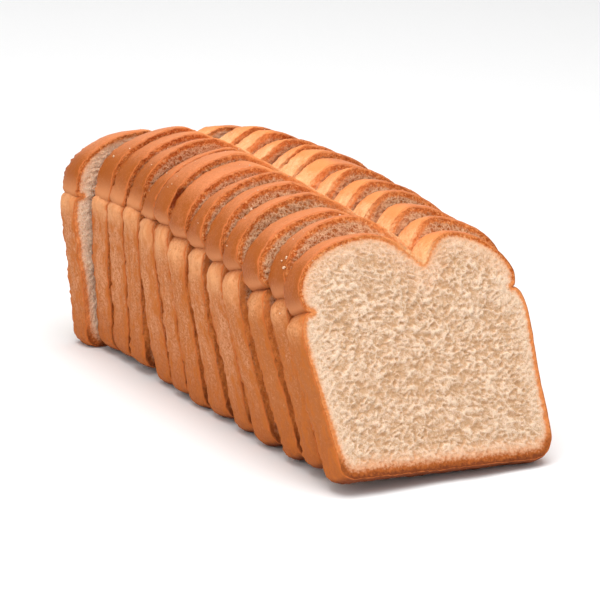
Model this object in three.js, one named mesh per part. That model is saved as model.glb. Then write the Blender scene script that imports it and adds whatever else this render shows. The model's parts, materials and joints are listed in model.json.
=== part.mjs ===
// A sliced tin loaf: thirteen slices of a split-top white sandwich loaf, standing in their
// baked order and leaning back on one another, with their feet drawn a little apart.
// Millimetres, +Z up. The loaf runs along Y and its cut front looks towards -Y.
// Each slice is one closed solid in its own named mesh.
import * as THREE from "three";

// ---- driving dimensions of the loaf's section -------------------------------------------
const sliceThickness = 12.5;
const shoulderHalfWidth = 56.5;
const shoulderHeight = 60;
const crownLeft = { peak: -18, height: 100.5, bulge: 55.5, bulgeHeight: 77, roundness: 2.0 };
const crownRight = { peak: 22, height: 98, bulge: 53, bulgeHeight: 78.5, roundness: 1.7 };
const creaseLeft = { half: 50.5, height: 70 };
const creaseRight = { half: 50.5, height: 72.5 };
const split = { across: 7.5, height: 87, leftFall: 1.6, rightFall: 2.0 };
const base = { left: -49.5, right: 57.5, cornerLeft: 7, cornerRight: 10, dropRight: 1.2, dropFade: 25 };
const sectionCentre = { across: 4, height: 50 };

// ---- how a slice is finished --------------------------------------------------------------
const pointsAlong = { leftLobe: 21, rightLobe: 17, body: 40 };
const crustSwell = 0.9;       // the crust between two cut edges stands this far proud of them
const crustBelt = [0.28, 0.72]; // full-width belts, as shares of the thickness
const faceRing = 0.8;         // the ring inside a cut face, as a share of its reach
const faceHollow = 0.25;      // a cut face sinks this much at that ring
const outlineWave = 0.55;     // unevenness of the outline
const edgeWave = 0.3;         // unevenness of the cut edges along the loaf
const footSink = 1.2;         // what the soft foot gives where it stands
const restHeight = 84;        // a slice meets the one behind it at this height
const creaseFade = 8;         // a crease that lies higher lifts the crust this far around it
const endCrown = 0.8;         // the height of the crown at the last cut, as in the list below
const crownSteps = { 6: 0.02, 7: 0.04, 10: 0.08, 11: 0.09, 12: 0.06 }; // by slice, as a share too
const creaseFills = { 9: 1.5, 10: 2.5, 11: 3, 12: 3, 13: 2 }; // how much shallower a slice's creases are
const lobeTapers = { 6: 0.8, 9: 1.5, 10: 1.6, 11: 1.2 };      // how much its lobes narrow to the back

// A torn hollow at the upper left of one slice's front face.
const tear = { slice: 8, across: -48.5, height: 84.5, reach: 6.5, depth: 3 };

// Each slice, front to back: its lean in degrees, the room to the slice in front of it at
// the resting height, how far it stands to the side, its turn and tip in degrees, the
// height of its crown, its width and the depth of its split against the first slice, and how
// much higher than the first slice's its creases lie.
// The crown runs on to the height that the next slice starts with, less that slice's step.
const slices = [
  { lean: 26, room: 0, aside: 0, turn: 1, tip: 2, crown: 1.0, width: 1.0, split: 1, crease: 0 },
  { lean: 23, room: 1, aside: 2.5, turn: 0.5, tip: 2, crown: 1.05, width: 1.0, split: 1, crease: 0.5 },
  { lean: 22, room: 2, aside: 3.5, turn: 0, tip: 0.5, crown: 1.03, width: 1.02, split: 0.95, crease: 1.5 },
  { lean: 19, room: 3.5, aside: 4, turn: -0.5, tip: 0, crown: 1.1, width: 1.02, split: 0.9, crease: 4.5 },
  { lean: 16, room: 2, aside: 4.5, turn: 0, tip: 0, crown: 1.09, width: 1.01, split: 0.88, crease: 3 },
  { lean: 12, room: 2, aside: 4, turn: 0.5, tip: 0, crown: 1.1, width: 1.0, split: 0.85, crease: 3.5 },
  { lean: 9.5, room: 1, aside: 4, turn: 0.5, tip: -0.5, crown: 1.06, width: 1.0, split: 0.8, crease: 4.5 },
  { lean: 9, room: 1, aside: 3.5, turn: 0, tip: 0.5, crown: 1.1, width: 1.0, split: 0.8, crease: 4.5 },
  { lean: 7, room: 1, aside: 5, turn: 0, tip: 0, crown: 1.08, width: 1.0, split: 0.8, crease: 4 },
  { lean: 2, room: 2.2, aside: 2.5, turn: 0.5, tip: 1.5, crown: 1.06, width: 0.96, split: 0.75, crease: 1.5 },
  { lean: 0.5, room: 1, aside: 2, turn: 0.5, tip: 1.5, crown: 1.04, width: 0.94, split: 0.75, crease: 0 },
  { lean: 0, room: 0.8, aside: 2, turn: 0.5, tip: 1, crown: 1.03, width: 0.94, split: 0.7, crease: 0 },
  { lean: 3, room: 5.2, aside: -2, turn: 0.5, tip: -0.5, crown: 0.9, width: 0.96, split: 0.7, crease: 0.5 },
];

// ---- the outline of one slice ---------------------------------------------------------------
// A quarter of a rounded arc about a centre, from angle a to angle b in quarter turns.
function quarterArc(centre, across, up, from, to, roundness) {
  const steps = 14;
  const points = [];
  for (let k = 0; k <= steps; k += 1) {
    const angle = (from + ((to - from) * k) / steps) * (Math.PI / 2);
    const c = Math.cos(angle);
    const s = Math.sin(angle);
    const x = centre[0] + across * Math.sign(c) * Math.abs(c) ** (2 / roundness);
    const z = centre[1] + up * Math.sign(s) * Math.abs(s) ** (2 / roundness);
    points.push([x, z]);
  }
  return points;
}

// The slope from a crown's peak down into the split, or up out of it.
function splitSlope(crown, fall) {
  const steps = 12;
  const points = [];
  for (let k = 0; k <= steps; k += 1) {
    const share = k / steps;
    const x = crown.peak + (split.across - crown.peak) * share;
    const z = crown.height - (crown.height - split.height) * share ** fall;
    points.push([x, z]);
  }
  return points;
}

// The left lobe, from the left crease over its peak to the split.
function leftLobe() {
  const { peak, height, bulge, bulgeHeight, roundness } = crownLeft;
  const overhang = bulgeHeight - creaseLeft.height;
  const tuck = bulge - creaseLeft.half;
  const under = quarterArc([-creaseLeft.half, bulgeHeight], tuck, overhang, 3, 2, 2);
  const over = quarterArc([peak, bulgeHeight], bulge + peak, height - bulgeHeight, 2, 1, roundness);
  return [...under, ...over.slice(1), ...splitSlope(crownLeft, split.leftFall).slice(1)];
}

// The right lobe, from the split over its peak to the right crease.
function rightLobe() {
  const { peak, height, bulge, bulgeHeight, roundness } = crownRight;
  const overhang = bulgeHeight - creaseRight.height;
  const tuck = bulge - creaseRight.half;
  const over = quarterArc([peak, bulgeHeight], bulge - peak, height - bulgeHeight, 1, 0, roundness);
  const under = quarterArc([creaseRight.half, bulgeHeight], tuck, overhang, 0, -1, 2);
  return [...splitSlope(crownRight, split.rightFall).reverse(), ...over.slice(1), ...under.slice(1)];
}

// The body, from the right crease round the foot to the left crease.
function body() {
  const right = { across: shoulderHalfWidth - creaseRight.half, up: creaseRight.height - shoulderHeight };
  const left = { across: shoulderHalfWidth - creaseLeft.half, up: creaseLeft.height - shoulderHeight };
  const { cornerLeft, cornerRight } = base;
  return [
    ...quarterArc([creaseRight.half, shoulderHeight], right.across, right.up, 1, 0, 2),
    ...quarterArc([base.right - cornerRight, cornerRight], cornerRight, cornerRight, 0, -1, 2),
    ...quarterArc([base.left + cornerLeft, cornerLeft], cornerLeft, cornerLeft, 3, 2, 2),
    ...quarterArc([-creaseLeft.half, shoulderHeight], left.across, left.up, 2, 1, 2.4),
  ];
}

// Evenly spaced points along a run, with its first point kept and its last left out.
function evenly(run, count) {
  const curve = new THREE.CurvePath();
  for (let k = 1; k < run.length; k += 1) {
    const start = new THREE.Vector2(...run[k - 1]);
    const end = new THREE.Vector2(...run[k]);
    if (start.distanceTo(end) > 1e-6) curve.add(new THREE.LineCurve(start, end));
  }
  return curve.getSpacedPoints(count).slice(0, count);
}

// A smooth unevenness round a slice, from -1 to 1, different for each slice.
function wave(number, share, turns) {
  const phase = number * 2.399;
  const slow = Math.sin(turns * share * 2 * Math.PI + phase);
  const quick = Math.sin((2 * turns + 1) * share * 2 * Math.PI + 1.7 * phase);
  return 0.6 * slow + 0.4 * quick;
}

// How high a point of the section lies once the split is as deep as this share of the full one.
// A shallower split also opens wider.
function splitHeight(point, share) {
  const along = (point.x - crownLeft.peak) / (crownRight.peak - crownLeft.peak);
  if (along <= 0 || along >= 1 || point.y < split.height) return point.y;
  const brow = crownLeft.height + (crownRight.height - crownLeft.height) * along;
  const full = brow - split.height;
  const sunk = Math.max(0, brow - point.y) / full;
  return brow - full * share * sunk ** share;
}

// The outline of a numbered slice, clockwise seen from the front, for the crown of one cut.
function sliceOutline(number, form, crown) {
  const points = [
    ...evenly(leftLobe(), pointsAlong.leftLobe),
    ...evenly(rightLobe(), pointsAlong.rightLobe),
    ...evenly(body(), pointsAlong.body),
  ];
  return points.map((point, k) => {
    const rise = splitHeight(point, form.split) - creaseLeft.height;
    const level = rise > 0 ? creaseLeft.height + rise * crown : point.y;
    const nearCrease = Math.exp(-(((point.y - creaseLeft.height) / creaseFade) ** 2));
    const height = level + form.crease * nearCrease;
    const fill = Math.sign(point.x) * (creaseFills[number] ?? 0) * nearCrease ** 4;
    const outward = point.clone().sub(new THREE.Vector2(sectionCentre.across, sectionCentre.height));
    const uneven = outlineWave * wave(number, k / points.length, 3) * Math.min(1, point.y / 12);
    outward.setLength(uneven);
    const share = (point.x - base.left) / (base.right - base.left);
    const drop = base.dropRight * share * Math.max(0, 1 - point.y / base.dropFade);
    return new THREE.Vector2(point.x * form.width + outward.x + fill, height + outward.y - drop);
  });
}

// The outline pushed out by an even distance, along its own normals.
function pushedOut(outline, distance) {
  const count = outline.length;
  return outline.map((point, k) => {
    const before = outline[(k + count - 1) % count];
    const after = outline[(k + 1) % count];
    const along = after.clone().sub(before).normalize();
    return new THREE.Vector2(point.x - along.y * distance, point.y + along.x * distance);
  });
}

// The outline at a slice's back cut, where its lobes may be a little smaller.
function taperedBack(number, outline) {
  const smaller = pushedOut(outline, -(lobeTapers[number] ?? 0));
  return outline.map((point, k) => {
    const onLobe = THREE.MathUtils.smoothstep(point.y, creaseRight.height, creaseRight.height + 8);
    return point.clone().lerp(smaller[k], onLobe);
  });
}

// ---- one slice as a closed solid -------------------------------------------------------------
// How far the torn hollow sinks into a face at a point.
function tearDepth(number, point) {
  if (number !== tear.slice) return 0;
  const away = Math.hypot(point.x - tear.across, point.y - tear.height) / tear.reach;
  return away < 1 ? tear.depth * (1 - away * away) : 0;
}

// The rings of points from the front face's ring over the crust to the back face's ring.
function sliceRings(number, form) {
  const step = crownSteps[number + 1] ?? 0;
  const crownBehind = number < slices.length ? slices[number].crown - step : endCrown;
  const edge = sliceOutline(number, form, form.crown);
  const backEdge = taperedBack(number, sliceOutline(number, form, crownBehind));
  const count = edge.length;
  const at = (point, depth) => new THREE.Vector3(point.x, depth - sliceThickness, point.y);
  const front = (point, depth) => at(point, depth + tearDepth(number, point));
  const wavy = (k, side) => edgeWave * wave(number + side, k / count, 4);
  const inner = (point) => new THREE.Vector2(
    sectionCentre.across + (point.x - sectionCentre.across) * faceRing,
    sectionCentre.height + (point.y - sectionCentre.height) * faceRing,
  );
  const belt = (share) => {
    const between = edge.map((point, k) => point.clone().lerp(backEdge[k], share));
    return pushedOut(between, crustSwell).map((point) => at(point, share * sliceThickness));
  };
  return [
    edge.map((p) => front(inner(p), faceHollow)),
    edge.map((p, k) => front(p, wavy(k, 0))),
    belt(crustBelt[0]),
    belt(crustBelt[1]),
    backEdge.map((p, k) => at(p, sliceThickness + wavy(k, 1))),
    backEdge.map((p) => at(inner(p), sliceThickness - faceHollow)),
  ];
}

// The slice's own frame has its back face on the plane Y = 0 and its foot at Z = 0.
function sliceGeometry(number, form) {
  const rings = sliceRings(number, form);
  const count = rings[0].length;
  const { across, height } = sectionCentre;
  const positions = rings.flat();
  positions.push(new THREE.Vector3(across, faceHollow - sliceThickness, height));
  positions.push(new THREE.Vector3(across, -faceHollow, height));
  const frontCentre = positions.length - 2;
  const backCentre = positions.length - 1;
  const lastRing = (rings.length - 1) * count;
  const triangles = [];
  for (let k = 0; k < count; k += 1) {
    const next = (k + 1) % count;
    triangles.push(frontCentre, next, k);
    triangles.push(backCentre, lastRing + k, lastRing + next);
    for (let ring = 0; ring + 1 < rings.length; ring += 1) {
      const a = ring * count;
      const b = a + count;
      triangles.push(a + k, a + next, b + k);
      triangles.push(a + next, b + next, b + k);
    }
  }
  const geometry = new THREE.BufferGeometry();
  geometry.setFromPoints(positions);
  geometry.setIndex(triangles);
  return geometry;
}

// ---- standing the slices on the table ---------------------------------------------------------
// Lowers a placed mesh until its foot sinks a little, then flattens the foot at Z = 0.
function settle(mesh) {
  const point = new THREE.Vector3();
  const { position } = mesh.geometry.attributes;
  const eachPoint = (visit) => {
    mesh.updateMatrix();
    for (let k = 0; k < position.count; k += 1) {
      point.fromBufferAttribute(position, k).applyMatrix4(mesh.matrix);
      visit(k);
    }
  };
  let lowest = Infinity;
  eachPoint(() => {
    lowest = Math.min(lowest, point.z);
  });
  mesh.position.z -= lowest + footSink;
  const inverse = new THREE.Matrix4();
  eachPoint((k) => {
    if (point.z >= 0) return;
    point.z = 0;
    point.applyMatrix4(inverse.copy(mesh.matrix).invert());
    position.setXYZ(k, point.x, point.y, point.z);
  });
  mesh.geometry.computeVertexNormals();
}

// Where the back foot of each slice stands along the loaf.
function footPlaces() {
  const places = [];
  let behind = 0;
  slices.forEach(({ lean, room }, k) => {
    const angle = THREE.MathUtils.degToRad(lean);
    const reach = restHeight * Math.tan(angle);
    const foot = k === 0 ? 0 : behind + room - reach + sliceThickness / Math.cos(angle);
    places.push(foot);
    behind = foot + reach;
  });
  return places;
}

const crust = new THREE.MeshStandardMaterial({ color: 0xc87a45, roughness: 0.6, metalness: 0 });
const loaf = new THREE.Group();
const places = footPlaces();

slices.forEach((form, k) => {
  const number = k + 1;
  const mesh = new THREE.Mesh(sliceGeometry(number, form), crust);
  mesh.name = `slice_${String(number).padStart(2, "0")}`;
  const [lean, turn, tip] = [form.lean, form.turn, form.tip].map(THREE.MathUtils.degToRad);
  mesh.rotation.set(-lean, tip, turn, "ZXY");
  mesh.position.set(form.aside, places[k], 0);
  settle(mesh);
  loaf.add(mesh);
});

// The origin stands under the middle of the loaf.
const middle = new THREE.Box3().setFromObject(loaf, true).getCenter(new THREE.Vector3());
loaf.position.set(-middle.x, -middle.y, 0);

export default loaf;
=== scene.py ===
"""A sliced tin loaf: thirteen slices of a split-top white loaf, with browned crust and open crumb.

Each slice replaces its CAD node in the same place and form, with the relief of its crumb and
crust made as mesh. A scatter of loose crumbs lies on the crust, and the loaf stands on a pale sweep.
"""

import json
import math
from types import SimpleNamespace

import bpy
import numpy as np
from mathutils import Matrix, Vector
from mathutils.bvhtree import BVHTree
from mathutils.kdtree import KDTree

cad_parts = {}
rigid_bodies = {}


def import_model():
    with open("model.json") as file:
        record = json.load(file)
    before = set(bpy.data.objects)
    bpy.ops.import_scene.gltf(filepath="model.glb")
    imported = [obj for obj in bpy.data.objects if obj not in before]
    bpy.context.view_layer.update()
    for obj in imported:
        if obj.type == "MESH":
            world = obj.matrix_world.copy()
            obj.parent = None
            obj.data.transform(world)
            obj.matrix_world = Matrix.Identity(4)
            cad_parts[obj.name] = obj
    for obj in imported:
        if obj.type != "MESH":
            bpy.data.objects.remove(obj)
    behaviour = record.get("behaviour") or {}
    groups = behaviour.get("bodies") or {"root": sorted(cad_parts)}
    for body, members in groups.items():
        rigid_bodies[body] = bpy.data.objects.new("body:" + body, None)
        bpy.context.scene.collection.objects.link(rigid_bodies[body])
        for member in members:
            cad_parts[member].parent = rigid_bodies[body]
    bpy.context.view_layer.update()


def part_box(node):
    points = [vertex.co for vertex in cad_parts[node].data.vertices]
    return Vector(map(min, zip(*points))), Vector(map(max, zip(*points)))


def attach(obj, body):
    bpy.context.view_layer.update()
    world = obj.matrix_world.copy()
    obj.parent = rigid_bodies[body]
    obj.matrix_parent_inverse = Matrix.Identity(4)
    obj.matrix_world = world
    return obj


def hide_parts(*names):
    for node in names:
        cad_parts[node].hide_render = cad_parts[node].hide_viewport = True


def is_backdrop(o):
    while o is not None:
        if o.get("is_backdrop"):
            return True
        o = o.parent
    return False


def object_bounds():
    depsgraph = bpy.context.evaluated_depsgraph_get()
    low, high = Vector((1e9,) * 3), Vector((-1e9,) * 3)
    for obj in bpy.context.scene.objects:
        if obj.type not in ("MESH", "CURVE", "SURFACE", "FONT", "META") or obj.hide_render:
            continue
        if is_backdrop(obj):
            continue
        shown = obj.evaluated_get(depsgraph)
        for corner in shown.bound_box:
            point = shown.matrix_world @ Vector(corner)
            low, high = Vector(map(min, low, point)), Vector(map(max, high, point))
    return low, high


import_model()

bl_info = {
    "name": "Sliced Tin Loaf",
    "version": (1, 0, 0),
    "blender": (4, 5, 0),
    "location": "View3D > Sidebar > Loaf",
    "description": "Makes a sliced split-top tin loaf, its loose crumbs and its stage",
    "category": "Add Mesh",
}

MM = 0.001

# ---- sizes of the loaf's section, in millimetres, as the solids have them ----
SHOULDER_HALF_WIDTH = 56.5
SHOULDER_HEIGHT = 60.0
ELLIPSE = 2  # the roundness of a plain elliptical arc
LEFT_SHOULDER_ROUND = 2.4
CROWN_LEFT = {"peak": -18.0, "height": 100.5, "bulge": 55.5, "bulge_height": 77.0, "round": 2.0}
CROWN_RIGHT = {"peak": 22.0, "height": 98.0, "bulge": 53.0, "bulge_height": 78.5, "round": 1.7}
CREASE_LEFT = {"half": 50.5, "height": 70.0}
CREASE_RIGHT = {"half": 50.5, "height": 72.5}
CREASE_FADE = 8.0
SPLIT = {"across": 7.5, "height": 87.0, "left_fall": 1.6, "right_fall": 2.0}
BASE = {"left": -49.5, "right": 57.5, "corner_left": 7.0, "corner_right": 10.0}
BASE_DROP = {"right": 1.2, "fade": 25.0}
CENTRE = np.array([4.0, 50.0])
OUTLINE_WAVE = {"height": 0.55, "turns": 3, "fade": 12.0, "phase_step": 2.399}
SECTION_POINTS = {"left_lobe": 21, "right_lobe": 17, "body": 40}
TEAR = {"slice": 8, "across": -48.5, "height": 84.5, "reach": 6.5, "depth": 3.0}
END_CROWN = 0.8
CROWN_STEPS = {6: 0.02, 7: 0.04, 10: 0.08, 11: 0.09, 12: 0.06}
CREASE_FILLS = {9: 1.5, 10: 2.5, 11: 3.0, 12: 3.0, 13: 2.0}
LOBE_TAPERS = {6: 0.8, 9: 1.5, 10: 1.6, 11: 1.2}
TAPER_RISE = 8.0

# Each slice, front to back: its lean, turn and tip in degrees, the height of its crown, its
# width and the depth of its split as shares of the first one's, and how much higher its
# creases lie.
SLICE_FORM = ("lean", "turn", "tip", "crown", "width", "split", "crease")
SLICES = [dict(zip(SLICE_FORM, row)) for row in (
    (26.0, 1.0, 2.0, 1.00, 1.00, 1.00, 0.0),
    (23.0, 0.5, 2.0, 1.05, 1.00, 1.00, 0.5),
    (22.0, 0.0, 0.5, 1.03, 1.02, 0.95, 1.5),
    (19.0, -0.5, 0.0, 1.10, 1.02, 0.90, 4.5),
    (16.0, 0.0, 0.0, 1.09, 1.01, 0.88, 3.0),
    (12.0, 0.5, 0.0, 1.10, 1.00, 0.85, 3.5),
    (9.5, 0.5, -0.5, 1.06, 1.00, 0.80, 4.5),
    (9.0, 0.0, 0.5, 1.10, 1.00, 0.80, 4.5),
    (7.0, 0.0, 0.0, 1.08, 1.00, 0.80, 4.0),
    (2.0, 0.5, 1.5, 1.06, 0.96, 0.75, 1.5),
    (0.5, 0.5, 1.5, 1.04, 0.94, 0.75, 0.0),
    (0.0, 0.5, 1.0, 1.03, 0.94, 0.70, 0.0),
    (3.0, 0.5, -0.5, 0.90, 0.96, 0.70, 0.5),
)]

# ---- how the mesh of a slice is laid out ----
ARC_POINTS = 40
SLOPE_POINTS = 30
FACE_REACH = 52.0  # from a face's middle to its edge
HALVINGS = 5  # how many times a face's rings may drop every other point
FIRST_HALVED = 0.62  # rings nearer the middle than this share have fewer points
COARSE_STEP = 0.05
INNERMOST_RING = 0.03
# Inside this share of its reach, a face's rings are coarse. A bare face has no coarse ones.
FINE_TO = {"bare": 0.02, "front": 0.72, "back": 0.93}
FINENESS = {"first": 0.85, "last": 1.1, "between": 1.25, "quick": 1.6}  # times the spacing
GRAIN_STEP = 40.0  # keeps the patterns of two slices apart
CUT_STEP = 29.0  # keeps the wander of two cuts apart

# ---- the kinds of crust ----
# Pairs are where each kind begins and where it is full or gone, in millimetres.
OUTER = (38.0, 44.0)  # across, from the middle
LOBE_RISE = (-0.5, 3.0)  # above the creases
TUCK_RISE = (1.0, 8.0)
FOOT_RISE = (0.0, 34.0)  # above the floor
UNDER_RISE = (0.3, 2.5)
BAKED_FOOT_RISE = (3.0, 12.0)
BAKED_SIDE_RISE = (10.0, 50.0)
LIT_FACING_UP = (0.6, 1.02)  # how far the skin faces up, for the painted top light and sheen on the lobes
GOLD_REACH = {"left": 17.0, "right": 10.0}  # from the split
# The width of the painted shade in the creases.
CREASE_WIDTH = 1.3
SHOULDER = {"below": 6.0, "width": 5.0, "swell": 1.3}
MORE_BEHIND = {"gold": 6.0, "tuck": 5.0, "shoulder": 3.0}  # towards the back of the loaf
BAKED = {"side": 1.9, "low_side": 0.5, "top": 2.0, "gold": 0.7, "foot": 5.0}
BAKED_SHUT = {"side": 2.0, "top": 0.6}  # more, where a face is shut between two slices: partly painted shade in the gaps there
BROWN_AND_SHADE = (1.4, 1.0, 1.1, 0.5, 0.1, 0.2, 0.5, 0.2, 0.1, 0.3, 0.0, 0.0, 0.2)  # how much darker each slice's sides are: painted shade on the front slices, which catch more light, and partly each slice's own browning
LARGE_PORES = {"size": 3.0, "seed": 11, "least": 0.25, "most": 0.8}
SMALL_PORES = {"size": 1.75, "seed": 23, "least": 0.4, "most": 0.85}
GOLD_FLATTER = 0.8  # the share of its swell that the crust loses in the split
# The share of its painted shade that the crumb keeps on the last slice's front strip, so that the strip is
# painted paler.
GAP_SHADE = 0.1
WANDER = {"side": 3.2, "lobe": 1.6, "size": 11.0, "outermost": 0.4}
FRAY_WIDTH = {"face": 1.6, "skin": 1.2}

# Where single loose crumbs lie, seen from above, and their size, all in millimetres.
LOOSE_CRUMBS = (
    (-47, 90, 1.1), (-42, 85, 0.9), (-49, 36, 1.0), (-50, 30, 1.3), (-38, -12, 1.6), (-50, -60, 1.3),
    (-52, -62, 1.8), (-51, -58, 1.0), (5, 75, 1.2), (12, 70, 1.1), (8, -5, 1.0), (8, -40, 1.5),
    (12, -50, 1.2), (-30, -45, 0.9), (-20, 20, 0.7), (30, -30, 0.9), (6, 30, 1.0), (10, 52, 0.9),
)
FINE_CRUMBS = 140
FINE_CRUMB_SIZE = (0.3, 0.7)
CRUMB_FROM = 200.0  # the height that crumbs are dropped from
CRUMB_LOWEST = 50
CRUMB_LEVEL = 0.1  # they stay where the skin faces up at least this much
CRUMB_LIFT = 0.25

# ---- the stage, in metres ----
SWEEP = {"half": 3.0, "depth": 2.2, "rise": 2.5, "bend": 0.8, "steps": 12, "drop": 0.0002}
LIGHT_TARGET = (0.0, 0.0, 0.05)
TOP_LIGHT = {"place": (-0.1, -0.15, 1.25), "size": 1.1}
SIDE_LIGHT = {"place": (-1.35, -0.5, 0.7), "size": 0.9}
PICTURE_WIDTH = 600
SENSOR_WIDTH = 36.0

# ---- repeatable noise on arrays of points ----
# Odd whole numbers that scramble a cell's place and a seed into a number that looks random.
CELL_FACTORS = (73856093, 19349663, 83492791)
SEED_FACTOR = 2654435761
SCRAMBLES = (1274126177, 2246822519)
# Where noise and scattered points begin, so that their grids don't lie on one another.
NOISE_START = 517.3
SCATTER_START = 311.7


def lattice(cell, seed):
    """A repeatable random number from 0 to 1 for each whole-number cell."""
    c = cell.astype(np.int64).astype(np.uint32)
    x, y, z = (c[:, k] * np.uint32(factor) for k, factor in enumerate(CELL_FACTORS))
    n = x ^ y ^ z ^ np.uint32((seed * SEED_FACTOR) % 2**32)
    n = (n ^ (n >> np.uint32(13))) * np.uint32(SCRAMBLES[0])
    n = (n ^ (n >> np.uint32(15))) * np.uint32(SCRAMBLES[1])
    return ((n ^ (n >> np.uint32(16))) & np.uint32(0xFFFFFF)) / float(0xFFFFFF)


def ease(t):
    """Smooth step of a share from 0 to 1."""
    t = np.clip(t, 0.0, 1.0)
    return t * t * (3.0 - 2.0 * t)


def ramp(value, low, high):
    """0 below low, 1 above high, smooth between."""
    return ease((value - low) / (high - low))


def bell(value):
    """1 at zero, falling smoothly on both sides."""
    return np.exp(-(value**2))


def noise(points, size, seed):
    """Smooth noise from -1 to 1 whose lumps are about size across."""
    p = points / size + NOISE_START
    cell = np.floor(p)
    f = ease(p - cell)
    total = 0.0
    for corner in np.ndindex(2, 2, 2):
        offset = np.array(corner)
        weight = np.prod(np.where(offset == 1, f, 1.0 - f), axis=1)
        total = total + weight * lattice(cell + offset, seed)
    return 2.0 * total - 1.0


def layered(points, size, seed, layers=3):
    """Noise in layers, each half the size and half the strength of the one before."""
    total = 0.0
    for k in range(layers):
        total = total + noise(points, size / 2**k, seed + k) / 2**k
    return total / (2.0 - 0.5 ** (layers - 1))


def scattered(points, size, seed):
    """The distance to the nearest of some scattered points, and that one's own random number."""
    p = points / size + SCATTER_START
    cell = np.floor(p)
    near = np.full(len(p), np.inf)
    number = np.zeros(len(p))
    for corner in np.ndindex(3, 3, 3):
        c = cell + np.array(corner) - 1.0
        spot = c + np.stack([lattice(c, seed + k) for k in range(3)], axis=1)
        distance = np.linalg.norm(p - spot, axis=1)
        closer = distance < near
        number = np.where(closer, lattice(c, seed + 9), number)
        near = np.where(closer, distance, near)
    return near, number


# ---- the outline of a slice ----
def quarter_arc(centre, across, up, start, end, roundness=ELLIPSE):
    """A rounded arc about a centre, from start to end in quarter turns."""
    angle = np.linspace(start, end, ARC_POINTS) * (math.pi / 2)
    c, s = np.cos(angle), np.sin(angle)
    x = centre[0] + across * np.sign(c) * np.abs(c) ** (2 / roundness)
    z = centre[1] + up * np.sign(s) * np.abs(s) ** (2 / roundness)
    return np.stack([x, z], axis=1)


def split_slope(crown, fall):
    """The slope from a crown's peak down into the split."""
    share = np.linspace(0, 1, SLOPE_POINTS)
    x = crown["peak"] + (SPLIT["across"] - crown["peak"]) * share
    z = crown["height"] - (crown["height"] - SPLIT["height"]) * share**fall
    return np.stack([x, z], axis=1)


def lobe_run(crown, crease, fall, hand):
    """A crown and its tuck, clockwise seen from the front. The hand is -1 for left, 1 for right."""
    level = crown["bulge_height"]
    tuck, drop = crown["bulge"] - crease["half"], level - crease["height"]
    reach, rise = crown["bulge"] - hand * crown["peak"], crown["height"] - level
    first = 0 if hand > 0 else 3
    under = quarter_arc((hand * crease["half"], level), tuck, drop, first, first - 1)
    first = 1 if hand > 0 else 2
    over = quarter_arc((crown["peak"], level), reach, rise, first, first - 1, crown["round"])
    slope = split_slope(crown, fall)
    runs = (slope[::-1], over[1:], under[1:]) if hand > 0 else (under, over[1:], slope[1:])
    return np.concatenate(runs)


def body_run():
    """The sides and the base below the creases, clockwise seen from the front."""
    right = (SHOULDER_HALF_WIDTH - CREASE_RIGHT["half"], CREASE_RIGHT["height"] - SHOULDER_HEIGHT)
    left = (SHOULDER_HALF_WIDTH - CREASE_LEFT["half"], CREASE_LEFT["height"] - SHOULDER_HEIGHT)
    cl, cr = BASE["corner_left"], BASE["corner_right"]
    return np.concatenate([
        quarter_arc((CREASE_RIGHT["half"], SHOULDER_HEIGHT), *right, 1, 0),
        quarter_arc((BASE["right"] - cr, cr), cr, cr, 0, -1),
        quarter_arc((BASE["left"] + cl, cl), cl, cl, 3, 2),
        quarter_arc((-CREASE_LEFT["half"], SHOULDER_HEIGHT), *left, 2, 1, LEFT_SHOULDER_ROUND),
    ])


def run_length(run):
    """The distance along a run of points, at each of them."""
    steps = np.linalg.norm(np.diff(run, axis=0), axis=1)
    return np.concatenate([[0.0], np.cumsum(steps)])


def evenly(run, count):
    """Evenly spaced points along a run, with its first kept and its last left out."""
    along = run_length(run)
    spots = np.linspace(0, along[-1], count, endpoint=False)
    return np.stack([np.interp(spots, along, run[:, 0]), np.interp(spots, along, run[:, 1])], axis=1)


def wave(number, share):
    """The slow unevenness round a slice, different for each slice."""
    turns = OUTLINE_WAVE["turns"]
    phase = number * OUTLINE_WAVE["phase_step"]
    slow = np.sin(turns * share * 2 * math.pi + phase)
    quick = np.sin((2 * turns + 1) * share * 2 * math.pi + 1.7 * phase)
    return 0.6 * slow + 0.4 * quick


def split_height(section, share):
    """Heights of the section's points once the split is this share as deep."""
    x, z = section.T
    along = (x - CROWN_LEFT["peak"]) / (CROWN_RIGHT["peak"] - CROWN_LEFT["peak"])
    brow = CROWN_LEFT["height"] + (CROWN_RIGHT["height"] - CROWN_LEFT["height"]) * along
    inside = (along > 0) & (along < 1) & (z >= SPLIT["height"])
    full = brow - SPLIT["height"]
    sunk = np.clip((brow - z) / full, 0.0, 1.0)
    return np.where(inside, brow - full * share * sunk**share, z)


def section_points(spacing):
    """The plain section, clockwise seen from the front, and the share of the way round it."""
    runs = {
        "left_lobe": lobe_run(CROWN_LEFT, CREASE_LEFT, SPLIT["left_fall"], -1),
        "right_lobe": lobe_run(CROWN_RIGHT, CREASE_RIGHT, SPLIT["right_fall"], 1),
        "body": body_run(),
    }
    whole = sum(SECTION_POINTS.values())
    group = 2**HALVINGS
    points, shares = [], []
    start = 0
    for name, run in runs.items():
        count = group * max(1, round(run_length(run)[-1] / spacing / group))
        points.append(evenly(run, count))
        shares.append((start + SECTION_POINTS[name] * np.arange(count) / count) / whole)
        start += SECTION_POINTS[name]
    return np.concatenate(points), np.concatenate(shares)


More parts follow.
